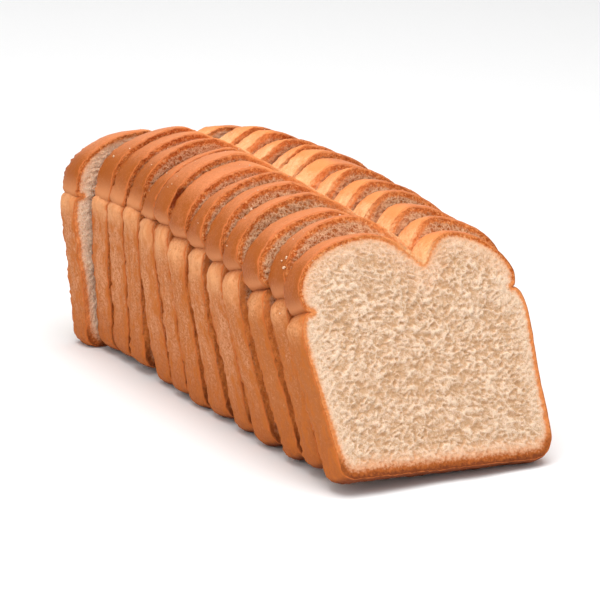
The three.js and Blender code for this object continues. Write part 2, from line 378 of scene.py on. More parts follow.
def slice_outline(number, form, crown, section, share):
    """A slice's outline at one cut, from the plain section and the height of its crown there."""
    x, z = section.T
    rise = split_height(section, form["split"]) - CREASE_LEFT["height"]
    level = np.where(rise > 0, CREASE_LEFT["height"] + rise * crown, z)
    near_crease = bell((z - CREASE_LEFT["height"]) / CREASE_FADE)
    height = level + form["crease"] * near_crease
    fill = np.sign(x) * CREASE_FILLS.get(number, 0.0) * near_crease**4
    outward = section - CENTRE
    outward /= np.linalg.norm(outward, axis=1, keepdims=True)
    uneven = OUTLINE_WAVE["height"] * wave(number, share) * np.minimum(1.0, z / OUTLINE_WAVE["fade"])
    slope = (x - BASE["left"]) / (BASE["right"] - BASE["left"])
    drop = BASE_DROP["right"] * slope * np.maximum(0.0, 1.0 - z / BASE_DROP["fade"])
    across = x * form["width"] + outward[:, 0] * uneven + fill
    return np.stack([across, height + outward[:, 1] * uneven - drop], axis=1)


def outward_normals(outline):
    """Unit vectors that point out of the slice, one for each point of its outline."""
    along = np.roll(outline, -1, axis=0) - np.roll(outline, 1, axis=0)
    along /= np.linalg.norm(along, axis=1, keepdims=True)
    return np.stack([-along[:, 1], along[:, 0]], axis=1)


def tapered_back(number, outline):
    """The outline at a slice's back cut, where its lobes may be a little smaller."""
    on_lobe = ramp(outline[:, 1], CREASE_RIGHT["height"], CREASE_RIGHT["height"] + TAPER_RISE)
    return outline - outward_normals(outline) * (LOBE_TAPERS.get(number, 0.0) * on_lobe)[:, None]


# ---- the surface of a slice ----
class Surface:
    """A closed skin of rings from the middle of the front face over the crust to the back."""

    def __init__(self):
        self.rings = []
        self.faces = []
        self.count = 0
        self.last = None

    def ring(self, flat, depth, side, normal):
        """Adds a ring: its points in the slice's plane, its depth, which side, and its normals."""
        size = len(flat)
        normals = np.broadcast_to(normal, (size, 3))
        self.rings.append((flat, np.full(size, depth), np.full(size, side), normals))
        here = np.arange(self.count, self.count + size)
        if self.last is not None:
            self.stitch(self.last, here)
        self.last = here
        self.count += size

    def stitch(self, a, b):
        """Joins two rings of the same count, or of counts one of which is twice the other."""
        if len(a) == 1 or len(b) == 1:
            ring, hub, flip = (b, a[0], False) if len(a) == 1 else (a, b[0], True)
            after = np.roll(ring, -1)
            fan = np.stack([np.full(len(ring), hub), after, ring], axis=1)
            self.faces.append(fan[:, ::-1] if flip else fan)
            return
        a1, b1 = np.roll(a, -1), np.roll(b, -1)
        if len(a) == len(b):
            corners = ((a, a1, b), (a1, b1, b))
        elif len(b) == 2 * len(a):
            corners = ((a, b[1::2], b[0::2]), (a, a1, b[1::2]), (a1, b1[1::2], b[1::2]))
        else:
            corners = ((b, a[0::2], a[1::2]), (b1, b, a[1::2]), (b1, a[1::2], a1[1::2]))
        self.faces += [np.stack(three, axis=1) for three in corners]

    def arrays(self):
        """The place, depth, side and normal of every point, ring after ring."""
        return [np.concatenate(values) for values in zip(*self.rings)]


def face_rings(fine_to, step):
    """The rings of a face from its edge inwards, fine steps first and then coarse ones.

    Each is its share of the reach and how many times its points are halved.
    """
    fine = np.arange(1.0 - step, fine_to, -step)
    coarse = np.arange(fine[-1] - COARSE_STEP, INNERMOST_RING, -COARSE_STEP)
    rings, halved = [], 0
    for share in np.concatenate([fine, coarse]):
        wanted = math.floor(math.log2(FIRST_HALVED / share)) + 1
        halved = max(0, min(wanted, HALVINGS, halved + 1))
        rings.append((share, halved))
    return rings


def slice_surface(front, back, shape, spacing, fine_to):
    """The bare surface of a slice between its two cut outlines, with its back at depth 0."""
    surface = Surface()
    thickness, swell = shape.thickness / MM, shape.swell / MM
    step = spacing / FACE_REACH

    def face(outline, rings, depth, side):
        flats = [CENTRE + (outline[:: 2**halved] - CENTRE) * share for share, halved in rings]
        for flat in [*flats, CENTRE[None, :]][::-side]:
            surface.ring(flat, depth, side, (0.0, -side, 0.0))

    face(front, face_rings(fine_to[0], step), -thickness, 1)
    rows = round(thickness / spacing)
    for share in np.linspace(0.0, 1.0, rows + 1):
        outline = front + (back - front) * share
        out = outward_normals(outline)
        bulge = swell * (1.0 - abs(2.0 * share - 1.0) ** 3)
        normal = np.stack([out[:, 0], np.zeros(len(out)), out[:, 1]], axis=1)
        surface.ring(outline + out * bulge, (share - 1.0) * thickness, 0, normal)
    face(back, face_rings(fine_to[1], step), 0.0, -1)
    return surface


def nearest_on_outline(flat, side, front, back):
    """For each point, the number of the nearest point of its outline, and how far inside it is."""
    nearest = np.zeros(len(flat), dtype=int)
    inset = np.zeros(len(flat))
    on_skin = np.flatnonzero(side == 0)
    nearest[on_skin] = (on_skin - on_skin[0]) % len(front)
    for which, outline in ((1, front), (-1, back)):
        tree = KDTree(len(outline))
        for k, (x, z) in enumerate(outline):
            tree.insert((x, z, 0.0), k)
        tree.balance()
        for k in np.flatnonzero(side == which):
            _, nearest[k], inset[k] = tree.find((flat[k, 0], flat[k, 1], 0.0))
    return nearest, inset


def crust_zones(section, behind):
    """The kinds of crust round the plain section, and how far the skin faces up for the painted top light,
    each from 0 to 1.
    """
    x, z = section[:, 0], section[:, 1]
    outer = ramp(np.abs(x), *OUTER)
    crease = np.where(x < 0, CREASE_LEFT["height"], CREASE_RIGHT["height"])
    lobe = ramp(z, crease + LOBE_RISE[0], crease + LOBE_RISE[1])
    tuck_top = crease + TUCK_RISE[1] + MORE_BEHIND["tuck"] * behind
    from_split = x - SPLIT["across"]
    reach = np.where(from_split < 0, GOLD_REACH["left"], GOLD_REACH["right"]) + MORE_BEHIND["gold"] * behind
    from_shoulder = z - crease + SHOULDER["below"] - MORE_BEHIND["shoulder"] * behind
    return {
        "lobe": lobe,
        "gold": lobe * bell(from_split / reach),
        # painted top light: how far the skin faces up
        "rosy": ramp(outward_normals(section)[:, 1], *LIT_FACING_UP),
        "tuck": lobe * (1.0 - ramp(z, crease + TUCK_RISE[0], tuck_top)),
        "crease": outer * bell((z - crease) / CREASE_WIDTH) * (1.0 - behind),
        "shoulder": outer * bell(from_shoulder / SHOULDER["width"]),
        "foot": 1.0 - ramp(z, *FOOT_RISE),
        "under": 1.0 - ramp(z, *UNDER_RISE),
    }


def crust_thickness(section, zones, shut):
    """How thick the baked crust is: thick over the lobes and at the foot, thin at the sides."""
    foot = 1.0 - ramp(section[:, 1], *BAKED_FOOT_RISE)
    low = 1.0 - ramp(section[:, 1], *BAKED_SIDE_RISE)
    # Shut faces get a wider baked band, partly as painted shade in the gaps between slices.
    side = BAKED["side"] + BAKED["low_side"] * low + BAKED_SHUT["side"] * shut
    top = BAKED["top"] + BAKED_SHUT["top"] * shut + BAKED["gold"] * zones["gold"]
    return side + foot * (BAKED["foot"] - side) + zones["lobe"] * (top - side)


def pits(points, size, seed, least, most):
    """Round hollows scattered about size apart, from 0 at their rims to 1 at their bottoms."""
    near, number = scattered(points, size, seed)
    radius = least + (most - least) * number
    return np.clip(1.0 - (near / radius) ** 2, 0.0, 1.0)


def crumb_relief(points, inset):
    """How deep the open crumb sinks below a cut face, in millimetres."""
    warp = np.stack([noise(points, 2.2, 40 + k) + 1.5 * noise(points, 9.0, 44 + k) for k in range(3)], axis=1)
    p = (points + 0.6 * warp) * np.array([0.78, 1.0, 1.12])
    open_crumb = ramp(inset, 2.0, 12.0)
    large = 0.75 * pits(p, **LARGE_PORES) * open_crumb
    hole = 1.0 - (1.0 - large) * (1.0 - 0.8 * pits(p, **SMALL_PORES))
    lumps = 0.34 * noise(p, 1.5, 61) + 0.2 * noise(p, 0.9, 63) + 0.16 * noise(p, 4.5, 65)
    return (0.4 + 0.6 * open_crumb) * (0.95 * hole - lumps) + 0.15 * layered(points, 14.0, 53) * open_crumb


def crust_relief(points, zones):
    """How far the crust's skin stands out or sinks, in millimetres."""
    lobe, gold = zones["lobe"], zones["gold"]
    lumps = 0.45 * layered(points, 13.0, 71, 2) + 1.4 * zones["shoulder"] * layered(points, 5.5, 75, 2)
    rough = 0.5 * layered(points * np.array([1.0, 1.0, 0.6]), 3.4, 81) * (1.0 - 0.75 * lobe)
    dents = 0.32 * ramp(noise(points, 1.5, 91), 0.2, 0.8) * (1.0 - 0.9 * lobe)
    wrinkles = 0.7 * gold * layered(points * np.array([0.6, 1.0, 1.0]), 3.4, 95)
    return lumps + rough - dents + wrinkles


def skin_lift(grain, zones, depth, to_edge, shape):
    """How far the skin between two cuts is lifted: relief, a flatter split and fuller shoulders."""
    from_middle = np.abs(1.0 + 2.0 * depth / (shape.thickness / MM))
    relief = crust_relief(grain, zones) * ramp(to_edge, 0.0, 1.5)
    flatter = shape.swell / MM * GOLD_FLATTER * zones["gold"] * (1.0 - from_middle**3)
    return relief - flatter + SHOULDER["swell"] * zones["shoulder"] * (1.0 - from_middle**2)


def tear_depth(number, flat, side):
    """The torn hollow in the front face of one slice, as a share of its depth."""
    if number != TEAR["slice"]:
        return np.zeros(len(flat))
    away = np.hypot(flat[:, 0] - TEAR["across"], flat[:, 1] - TEAR["height"]) / TEAR["reach"]
    return np.where(side > 0, np.clip(1.0 - away * away, 0.0, 1.0), 0.0)


def cut_wander(number, flat, depth, zones, shape):
    """How far a cut strays along the loaf. Two slices share the wander of the cut between them."""
    cut = number + (depth > -(shape.thickness / MM) / 2)
    outermost = (cut == 1) | (cut == len(SLICES) + 1)
    cut_plane = np.stack([flat[:, 0], CUT_STEP * cut, flat[:, 1]], axis=1)
    stray = WANDER["side"] - WANDER["lobe"] * zones["lobe"]
    return stray * layered(cut_plane, WANDER["size"], 101) * np.where(outermost, WANDER["outermost"], 1.0)


def place_like_node(local, form, node):
    """The turn and the shift that take a slice's own millimetres to where its solid stands."""
    lean, turn, tip = (math.radians(form[k]) for k in ("lean", "turn", "tip"))
    turned = Matrix.Rotation(turn, 3, "Z") @ Matrix.Rotation(-lean, 3, "X") @ Matrix.Rotation(tip, 3, "Y")
    world = local @ np.array(turned).T
    low, high = (np.array(corner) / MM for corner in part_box(node))
    shift = (low + high) / 2 - (world.min(0) + world.max(0)) / 2
    shift[2] = high[2] - world[:, 2].max()
    return np.array(turned), shift


def node_name(number):
    """The name of a slice's node in the frame."""
    return f"slice_{number:02d}"


def new_mesh(name, points, faces):
    """A smoothly shaded mesh from points in metres."""
    mesh = bpy.data.meshes.new(name)
    mesh.from_pydata(points, [], faces)
    mesh.shade_smooth()
    return mesh


def store(mesh, values, grain):
    """Keeps numbers and the grain's places at the mesh's points, for its material to read."""
    for name, value in values.items():
        attribute = mesh.attributes.new(name, "FLOAT", "POINT")
        attribute.data.foreach_set("value", value.astype(np.float32))
    attribute = mesh.attributes.new("grain", "FLOAT_VECTOR", "POINT")
    attribute.data.foreach_set("vector", grain.astype(np.float32).ravel())
    mesh.update()


def build_slice(number, form, shape):
    """The mesh of one slice: its outlines, its surface, then its relief and its frayed edges."""
    first, last = number == 1, number == len(SLICES)
    spacing = shape.spacing / MM * FINENESS["first" if first else "last" if last else "between"]
    behind = END_CROWN if last else SLICES[number]["crown"] - CROWN_STEPS.get(number + 1, 0.0)
    section, share = section_points(spacing)
    front = slice_outline(number, form, form["crown"], section, share)
    back = tapered_back(number, slice_outline(number, form, behind, section, share))
    fine_to = (FINE_TO["bare" if first else "front"], FINE_TO["bare" if last else "back"])
    surface = slice_surface(front, back, shape, spacing, fine_to)
    flat, depth, side, normal = surface.arrays()
    local = np.stack([flat[:, 0], depth, flat[:, 1]], axis=1)
    grain = local + np.array([0.0, GRAIN_STEP * number, 0.0])
    turned, shift = place_like_node(local, form, node_name(number))

    nearest, inset = nearest_on_outline(flat, side, front, back)
    zones = crust_zones(section[nearest], (number - 1) / (len(SLICES) - 1))
    on_face = side != 0
    to_edge = np.minimum(-depth, shape.thickness / MM + depth)
    sink = crumb_relief(grain, inset) * shape.crumb_depth * ramp(inset, 0.0, 0.8)
    torn = tear_depth(number, flat, side)
    skin = skin_lift(grain, zones, depth, to_edge, shape)
    move = np.where(on_face, -sink - torn * TEAR["depth"], skin)
    local = local + normal * move[:, None]

    ragged = shape.fray / MM * layered(grain, 1.6, 111, 2)
    edge = np.where(on_face, np.exp(-inset / FRAY_WIDTH["face"]), np.exp(-to_edge / FRAY_WIDTH["skin"]))
    outward = flat - CENTRE
    outward /= np.maximum(np.linalg.norm(outward, axis=1, keepdims=True), 1e-6)
    wander = cut_wander(number, flat, depth, zones, shape)
    local[:, 1] += wander * edge**0.5 * 0.8 + ragged * edge * 0.8
    local[:, 0::2] += outward * (edge * ragged * 0.7)[:, None]
    world = local @ turned.T + shift
    world[:, 2] = np.maximum(world[:, 2], 0.0)

    shut = 0.0 if first or last else 1.0
    in_gap = last & (side > 0)  # the last slice's front face shows only as a strip, painted paler: its crumb keeps only a share of its painted shade
    values = {
        "cut": on_face.astype(float),
        "baked": np.where(on_face, inset / crust_thickness(section[nearest], zones, shut), 0.0),
        # The crumb's depth, which the material paints darker as painted shade in the pores.
        "hollow": np.where(on_face, sink * np.where(in_gap, GAP_SHADE, 1.0), 0.0),
        "edge": np.where(on_face, 0.0, np.exp(-to_edge / 2.4)),
        "torn": torn,
        "shut": np.full(len(flat), shut),
        "brown": np.full(len(flat), BROWN_AND_SHADE[number - 1]),
        **zones,
    }
    faces = np.concatenate(surface.faces).tolist()
    mesh = new_mesh(node_name(number) + "_bread", (world * MM).tolist(), faces)
    store(mesh, values, grain)
    return mesh


# ---- shader maths ----
class Val:
    """A shader socket that carries a number, with Python's arithmetic."""

    def __init__(self, shader, socket):
        self.shader = shader
        self.socket = socket

    def _math(self, operation, *values):
        node = self.shader.node("ShaderNodeMath", {"operation": operation}, dict(enumerate(values)))
        return Val(self.shader, node.outputs[0])

    def __add__(self, other):
        return self._math("ADD", self, other)

    __radd__ = __add__

    def __sub__(self, other):
        return self._math("SUBTRACT", self, other)

    def __rsub__(self, other):
        return self._math("SUBTRACT", other, self)

    def __mul__(self, other):
        return self._math("MULTIPLY", self, other)

    __rmul__ = __mul__

    def __pow__(self, other):
        return self._math("POWER", self, other)

    def __rpow__(self, other):
        return self._math("POWER", other, self)

    def between(self, low, high):
        """0 where the number is at low, 1 where it is at high, smooth between."""
        settings = {"interpolation_type": "SMOOTHSTEP"}
        values = {"Value": self, "From Min": low, "From Max": high}
        return Val(self.shader, self.shader.node("ShaderNodeMapRange", settings, values).outputs[0])


class Shader:
    """Makes the nodes of one material."""

    def __init__(self, name):
        self.material = bpy.data.materials.new(name)
        self.material.use_nodes = True
        self.tree = self.material.node_tree
        self.tree.nodes.clear()

    def node(self, kind, settings=None, values=None):
        """A node of a kind, with its settings made first and then its sockets filled or linked."""
        node = self.tree.nodes.new(kind)
        for name, value in (settings or {}).items():
            setattr(node, name, value)
        for name, value in (values or {}).items():
            socket = node.inputs[name]
            if isinstance(value, Val):
                value = value.socket
            if isinstance(value, bpy.types.NodeSocket):
                self.tree.links.new(value, socket)
            else:
                socket.default_value = value
        return node

    def stored(self, name):
        """A number stored at the mesh's points."""
        return Val(self, self.node("ShaderNodeAttribute", {"attribute_name": name}).outputs["Fac"])

    def stored_vector(self, name):
        """A vector stored at the mesh's points."""
        return self.node("ShaderNodeAttribute", {"attribute_name": name}).outputs["Vector"]

    def scaled(self, vector, factors):
        """A vector with each part multiplied."""
        settings = {"operation": "MULTIPLY"}
        return self.node("ShaderNodeVectorMath", settings, {0: vector, 1: factors}).outputs[0]

    def noise(self, vector, scale, detail=3.0, roughness=0.55):
        """Noise from 0 to 1."""
        values = {"Vector": vector, "Scale": scale, "Detail": detail, "Roughness": roughness}
        return Val(self, self.node("ShaderNodeTexNoise", None, values).outputs["Fac"])

    def walls(self, vector, scale):
        """The distance to the walls between cells."""
        settings = {"feature": "DISTANCE_TO_EDGE"}
        node = self.node("ShaderNodeTexVoronoi", settings, {"Vector": vector, "Scale": scale})
        return Val(self, node.outputs["Distance"])

    def bent(self, vector, scale, amount):
        """A vector pushed about by noise."""
        values = {"Vector": vector, "Scale": scale, "Detail": 2.0}
        push = self.node("ShaderNodeTexNoise", None, values).outputs["Color"]
        values = {0: push, 1: (amount, amount, amount), 2: vector}
        return self.node("ShaderNodeVectorMath", {"operation": "MULTIPLY_ADD"}, values).outputs[0]

    def mix(self, factor, a, b):
        """A colour between a and b, each a socket or three numbers."""
        a, b = (c if isinstance(c, bpy.types.NodeSocket) else (*c, 1.0) for c in (a, b))
        settings = {"data_type": "RGBA", "blend_type": "MIX", "clamp_factor": True}
        return self.node("ShaderNodeMix", settings, {0: factor, 6: a, 7: b}).outputs[2]

    def bump(self, height, strength, distance):
        """A normal tilted by a height."""
        values = {"Height": height, "Strength": strength, "Distance": distance}
        return self.node("ShaderNodeBump", None, values).outputs["Normal"]

    def finish(self, values):
        """The material's surface, from its values."""
        surface = self.node("ShaderNodeBsdfPrincipled", None, values)
        self.node("ShaderNodeOutputMaterial", None, {"Surface": surface.outputs["BSDF"]})
        return self.material


# ---- materials ----
STORED = (
    "cut", "baked", "hollow", "edge", "torn", "shut", "brown",
    "lobe", "gold", "rosy", "tuck", "crease", "shoulder", "foot", "under",
)


def bread_patterns(s):
    """What the bread's colours are mixed by: numbers stored in the mesh, and noise in its grain."""
    p = SimpleNamespace(**{name: s.stored(name) for name in STORED})
    p.grain = s.stored_vector("grain")
    p.blotch = s.noise(p.grain, 0.06, 3.0, 0.6)
    p.patch = s.noise(p.grain, 0.14, 3.0, 0.6)
    p.mottle = s.noise(p.grain, 0.55, 5.0, 0.65)
    p.streaks = s.noise(s.scaled(p.grain, (0.8, 0.8, 0.1)), 1.0, 3.0, 0.6)
    p.runs = s.noise(s.scaled(p.grain, (1.0, 1.0, 0.35)), 0.3, 3.0, 0.7)
    p.speckle = s.noise(p.grain, 1.1, 2.0, 0.8)
    p.fine = s.noise(p.grain, 1.6, 4.0, 0.65)
    p.fibre = s.noise(s.scaled(p.grain, (1.0, 1.0, 0.4)), 1.9, 3.0, 0.75)
    p.lumpy = s.noise(p.grain, 0.9, 4.0, 0.6) - 0.5
    bent = s.bent(p.grain, 0.7, 1.2)
    p.web = s.walls(bent, 0.5) * 0.9 + s.walls(bent, 1.05) * 0.6 - 0.3
    # From 0 at the skin to 1 where the baked band ends and the crumb begins, and on into the crumb.
    p.ragged = p.baked + p.lumpy - (p.hollow - 0.3) * 0.4
    return p


def side_colour(s, p, colours):
    """The sides: tan and mottled, paler under the creases, partly as painted light, browner towards the foot,
    and darkest on the underside, partly as painted shade.
    """
    # Each slice's sides are darkened by its own browning and by painted shade, most on the front slices.
    pale = p.mottle * 0.45 + p.speckle * 0.35 + p.fibre * 0.35 - p.brown * 0.12
    side = s.mix(pale.between(0.42, 0.7), colours.side_dark, colours.side_light)
    darker = p.streaks.between(0.5, 0.75) + p.blotch.between(0.45, 0.75)
    side = s.mix(darker * 0.3, side, colours.side_dark)
    # Paler shoulders: partly their own paler skin, partly painted light against the shade under the lobes.
    side = s.mix(p.shoulder * pale.between(0.2, 0.6), side, colours.shoulder)
    side = s.mix(p.foot * 0.8, side, colours.foot)
    stain = p.edge * 0.7 + (p.runs - 0.5) * 3.4 + (p.mottle - 0.5) * 1.4 + (p.fibre - 0.5) * 0.8
    side = s.mix(stain.between(-0.1, 0.8) * (1 - p.shoulder * 0.6) * 0.9, side, colours.stain)
    # The underside: dark crust, partly painted shade beneath the slices.
    return s.mix(p.under, side, colours.under)


def lobe_colour(s, p, colours):
    """The lobes: lighter on top where the skin faces up, as painted top light and sheen, and browner on their
    flanks as painted shade; paler tucked in, partly as painted light, and golden where they meet.
    """
    # Painted top light and sheen where the skin faces up, painted shade on the flanks, with mottling.
    lit_and_mottled = p.rosy + (p.blotch - 0.5) * 0.6 + (p.mottle - 0.5) * 0.6 + (p.speckle + p.fibre - 1) * 0.8
    top = s.mix(lit_and_mottled, colours.lobe_shaded_flank, colours.lobe_lit_top)
    top = s.mix(p.streaks.between(0.5, 0.8) * 0.3, top, colours.lobe_shaded_flank)
    # Paler where the lobes tuck in: partly their own paler skin, partly painted light against the shade under
    # them.
    top = s.mix(p.tuck * 0.85, top, colours.tuck)
    top = s.mix((p.gold + (p.blotch - 0.5) * 0.4).between(0.05, 0.45), top, colours.gold_dark)
    torn_gold = p.gold + (p.mottle - 0.5) * 0.8 + (p.fibre + p.patch - 1) * 0.7
    return s.mix(torn_gold.between(0.55, 1.15), top, colours.gold_light)


def skin_colour(s, p, colours):
    """All of the browned skin, with painted shade in its creases and the darker line along a cut."""
    skin = s.mix(p.lobe, side_colour(s, p, colours), lobe_colour(s, p, colours))
    # Painted shade in the creases, fading out towards the back of the loaf.
    skin = s.mix(p.crease * 0.7, skin, colours.crease)
    line = p.edge**3 + (p.mottle - 0.5) * 0.9 + (p.patch - 0.5) * 0.9
    return s.mix(line.between(0.3, 0.85) * (1 - p.gold) * 0.9, skin, colours.edge)


def band_colour(s, p, colours):
    """The porous baked band round a cut face, with the base's darker edge, partly painted shade at its
    bottom.
    """
    light = p.mottle * 0.6 + p.speckle * 0.4
    band = s.mix(light.between(0.4, 0.62), colours.rim_dark, colours.rim_light)
    flecks = (p.lumpy + p.speckle).between(0.55, 0.8) * p.ragged.between(0.1, 0.8)
    band = s.mix(flecks * 0.6, band, colours.fleck)
    # The band down the sides of shut faces is painted brighter orange, partly painted light against the shade
    # in the gaps.
    band = s.mix((1 - p.lobe) * p.shut * 0.6, band, colours.side_rim)
    band = s.mix((1 - p.lobe) * (1 - p.shut) * 0.7, band, colours.gold_dark)
    band = s.mix(p.gold * 0.75 + p.shoulder * 0.4, band, colours.gold_dark)
    # The base's edge darkens to the underside's colour, partly painted shade at the bottom.
    base_edge = s.mix(p.ragged.between(0.1, 0.6), colours.under, colours.foot)
    base_edge = s.mix(p.ragged.between(0.5, 1.0), base_edge, colours.side_light)
    return s.mix(p.foot.between(0.7, 0.95), band, base_edge)


def crumb_colour(s, p, colours):
    """The open crumb, with painted shade in its pores, warmer beside the crust, and darker and redder where a
    face is shut between slices, as painted shade and warm bounce light.
    """
    # Painted shade: darker in the relief's hollows and the crumb's cells, lighter on the strands.
    shade = p.hollow * 0.6 + (0.5 - p.fine) * 1.5 + p.web
    crumb = s.mix(shade.between(-0.5, 0.55), colours.crumb_light, colours.crumb_dark)
    by_crust = (1 - p.ragged.between(1.1, 2.2)) * 0.4
    tint = by_crust + (1 - p.ragged.between(1.0, 7.0)) * p.lobe * 0.3
    crumb = s.mix(tint, crumb, colours.transition)
    # Where a face is shut between slices: the crumb painted darker and redder, as painted shade and warm
    # bounce light.
    shaded_gap_crumb = s.mix((shade + p.web).between(-0.7, 0.4), colours.shaded_gap_strands, colours.shaded_gap_hollows)
    shaded_gap_crumb = s.mix(p.gold * 0.55, shaded_gap_crumb, colours.transition)
    return s.mix(p.shut * (1 - p.ragged.between(1.5, 7.0) * 0.5), crumb, shaded_gap_crumb)


def bread_material(colours):
    """Browned skin, the baked rim of the cut faces, and the open crumb inside."""
    s = Shader("bread")
    p = bread_patterns(s)
    skin = skin_colour(s, p, colours)
    rim = s.mix((p.ragged - p.gold * 0.45).between(0.05, 0.4), skin, band_colour(s, p, colours))
    face = s.mix(p.ragged.between(0.75, 1.4), rim, crumb_colour(s, p, colours))
    face = s.mix(p.torn, face, colours.tear)

    # Fine relief, in millimetres, below what the mesh holds.
    crumb_bump = p.fine * 1.2 - p.web + s.noise(p.grain, 4.0, 2.0) * 0.3
    skin_bump = (p.mottle * 0.4 + p.speckle * 0.5 + p.fibre * 0.6) * (1 - p.lobe * 0.7 + p.gold * 0.6)
    sheen = p.lobe * (1 - p.cut) * (1 - p.gold) * (1 - p.tuck)
    return s.finish({
        "Base Color": s.mix(p.cut, skin, face),
        "Roughness": 0.82 - sheen * 0.34 + p.cut * 0.1 + (p.mottle - 0.5) * 0.12,
        "Normal": s.bump(skin_bump * (1 - p.cut) + crumb_bump * p.cut, 0.6, 1.0 * MM),
        "Specular IOR Level": 0.22,
        "Subsurface Weight": 0.06,
        "Subsurface Radius": (1.0, 0.45, 0.25),
        "Subsurface Scale": 1.2 * MM,
    })


def crumb_material(colours):
    """Loose crumbs: pale, dry and matte."""
    s = Shader("loose_crumb")
    where = s.node("ShaderNodeTexCoord").outputs["Object"]
    fine = s.noise(where, 1800.0, 3.0, 0.6)
    base = s.mix(fine.between(0.35, 0.7), colours.crumb_dark, colours.crumb_light)
    normal = s.bump(fine, 0.5, 0.2 * MM)
    return s.finish({"Base Color": base, "Roughness": 0.9, "Normal": normal})


def floor_material(colours):
    """A plain pale matte sweep."""
    s = Shader("pale_sweep")
    where = s.node("ShaderNodeTexCoord").outputs["Object"]
    cloud = s.noise(where, 1.5, 2.0, 0.5)
    darker = tuple(0.985 * c for c in colours.floor)
    base = s.mix(cloud, darker, colours.floor)
    return s.finish({"Base Color": base, "Roughness": 0.85, "Specular IOR Level": 0.1})


# ---- what a user would change ----
def setting(name, description, default, **kind):
    """A number in the sidebar. The three below are a setting in metres, degrees or a colour."""
    return bpy.props.FloatProperty(name=name, description=description, default=default, **kind)


def length(name, description, default):
    return setting(name, description, default, unit="LENGTH", min=0.0, precision=5)


def angle(name, description, degrees):
    return setting(name, description, math.radians(degrees), subtype="ANGLE")


def colour(name, description, default):
    return bpy.props.FloatVectorProperty(
        name=name, description=description, default=default, subtype="COLOR", size=3, min=0.0, max=1.0
    )


class LoafShape(bpy.types.PropertyGroup):
    thickness: length("Slice thickness", "How thick each slice is", 12.5 * MM)
    swell: length("Crust swell", "How far the crust stands out between two cuts", 0.9 * MM)
    fray: length("Fray", "How ragged the cut edges are", 0.8 * MM)
    spacing: length("Spacing", "Distance between neighbouring points of the mesh", 0.55 * MM)
    crumb_depth: setting("Crumb depth", "Strength of the crumb's relief", 1.0, min=0.0, max=3.0)


class LoafColours(bpy.types.PropertyGroup):
    # The first two are lit and shaded copies of the lobes' skin: painted top light and sheen, and painted
    # shade on the flanks.
    lobe_lit_top: colour("Lobe top", "Rosy tops of the lobes", (0.68, 0.225, 0.083))
    lobe_shaded_flank: colour("Lobe low", "Browner flanks of the lobes", (0.37, 0.088, 0.008))
    # Tuck: partly paler skin, partly painted light against the shade under the lobes.
    tuck: colour("Tuck", "Where the lobes tuck in", (0.68, 0.27, 0.11))
    gold_light: colour("Gold light", "Palest skin where the lobes meet", (0.95, 0.53, 0.26))
    gold_dark: colour("Gold dark", "Golden skin where the lobes meet", (0.84, 0.3, 0.095))
    side_light: colour("Side light", "Pale parts of the sides", (0.74, 0.34, 0.17))
    side_dark: colour("Side dark", "Dark parts of the sides", (0.48, 0.145, 0.034))
    stain: colour("Stain", "Browner skin beside the cuts", (0.54, 0.145, 0.02))
    # Shoulder: partly its own paler skin, partly painted light against the shade under the lobes.
    shoulder: colour("Shoulder", "Pale skin under the creases", (0.8, 0.36, 0.155))
    # Crease: painted shade in the creases under the lobes.
    crease: colour("Crease", "Skin in the creases", (0.34, 0.075, 0.018))
    foot: colour("Foot", "The baked foot", (0.45, 0.115, 0.02))
    # Underside: dark crust, partly painted shade beneath the slices.
    under: colour("Underside", "What the slices stand on", (0.22, 0.05, 0.012))
    edge: colour("Edge", "The skin along a cut", (0.62, 0.16, 0.035))
    rim_dark: colour("Rim dark", "Dark parts of the baked band", (0.5, 0.105, 0.014))
    rim_light: colour("Rim light", "Light parts of the baked band", (0.78, 0.26, 0.07))
    # Side rim: the band's orange, painted brighter as painted light against the shade in the gaps.
    side_rim: colour("Side rim", "The baked band down the sides", (0.8, 0.25, 0.05))
    fleck: colour("Flecks", "Pale flecks in the baked band", (0.9, 0.5, 0.25))
    # The crumb's strands, and its pores in painted shade; on loose crumbs they are only uneven tone.
    crumb_light: colour("Crumb light", "Strands of the crumb", (0.98, 0.74, 0.55))
    crumb_dark: colour("Crumb dark", "Hollows of the crumb", (0.64, 0.37, 0.197))
    transition: colour("Transition", "Crumb just inside the baked band", (0.9, 0.43, 0.21))
    # The crumb between slices, painted in the shade and warm bounce light of the gaps.
    shaded_gap_strands: colour("Inner light", "Strands of the crumb between slices", (0.83, 0.51, 0.3))
    shaded_gap_hollows: colour("Inner dark", "Hollows of the crumb between slices", (0.43, 0.12, 0.024))
    tear: colour("Tear", "The torn hollow", (0.75, 0.13, 0.02))
    floor: colour("Floor", "The pale sweep", (0.9, 0.9, 0.9))


class LoafStage(bpy.types.PropertyGroup):
    azimuth: angle("Azimuth", "Camera's way round the loaf", -33.13)
    elevation: angle("Elevation", "Camera's way up", 17.31)
    roll: angle("Roll", "Camera's tilt about its own axis", 3.42)
    distance: length("Distance", "Camera's distance from its target", 1.7726)
    target: bpy.props.FloatVectorProperty(
        name="Target", description="What the camera looks at", default=(-0.00971, -0.01003, 0.04973),
        subtype="XYZ", unit="LENGTH",
    )
    focal_pixels: setting("Focal length", "Focal length in pixels of a picture 600 wide", 4114.4)
    key_power: setting("Top light", "Power of the large light above", 16.0, unit="POWER")
    fill_power: setting("Side light", "Power of the light on the left", 4.0, unit="POWER")
    world: setting("Room light", "Strength of the even white light", 0.55)


# ---- operators ----
def new_object(name, data):
    """An object of the scene, from its mesh, light or camera."""
    thing = bpy.data.objects.new(name, data)
    bpy.context.scene.collection.objects.link(thing)
    return thing


def add_piece(name, mesh, material):
    """Adds a mesh as a piece of the loaf that rides on the frame's one body."""
    mesh.materials.append(material)
    piece = new_object(name, mesh)
    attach(piece, "root")
    return piece


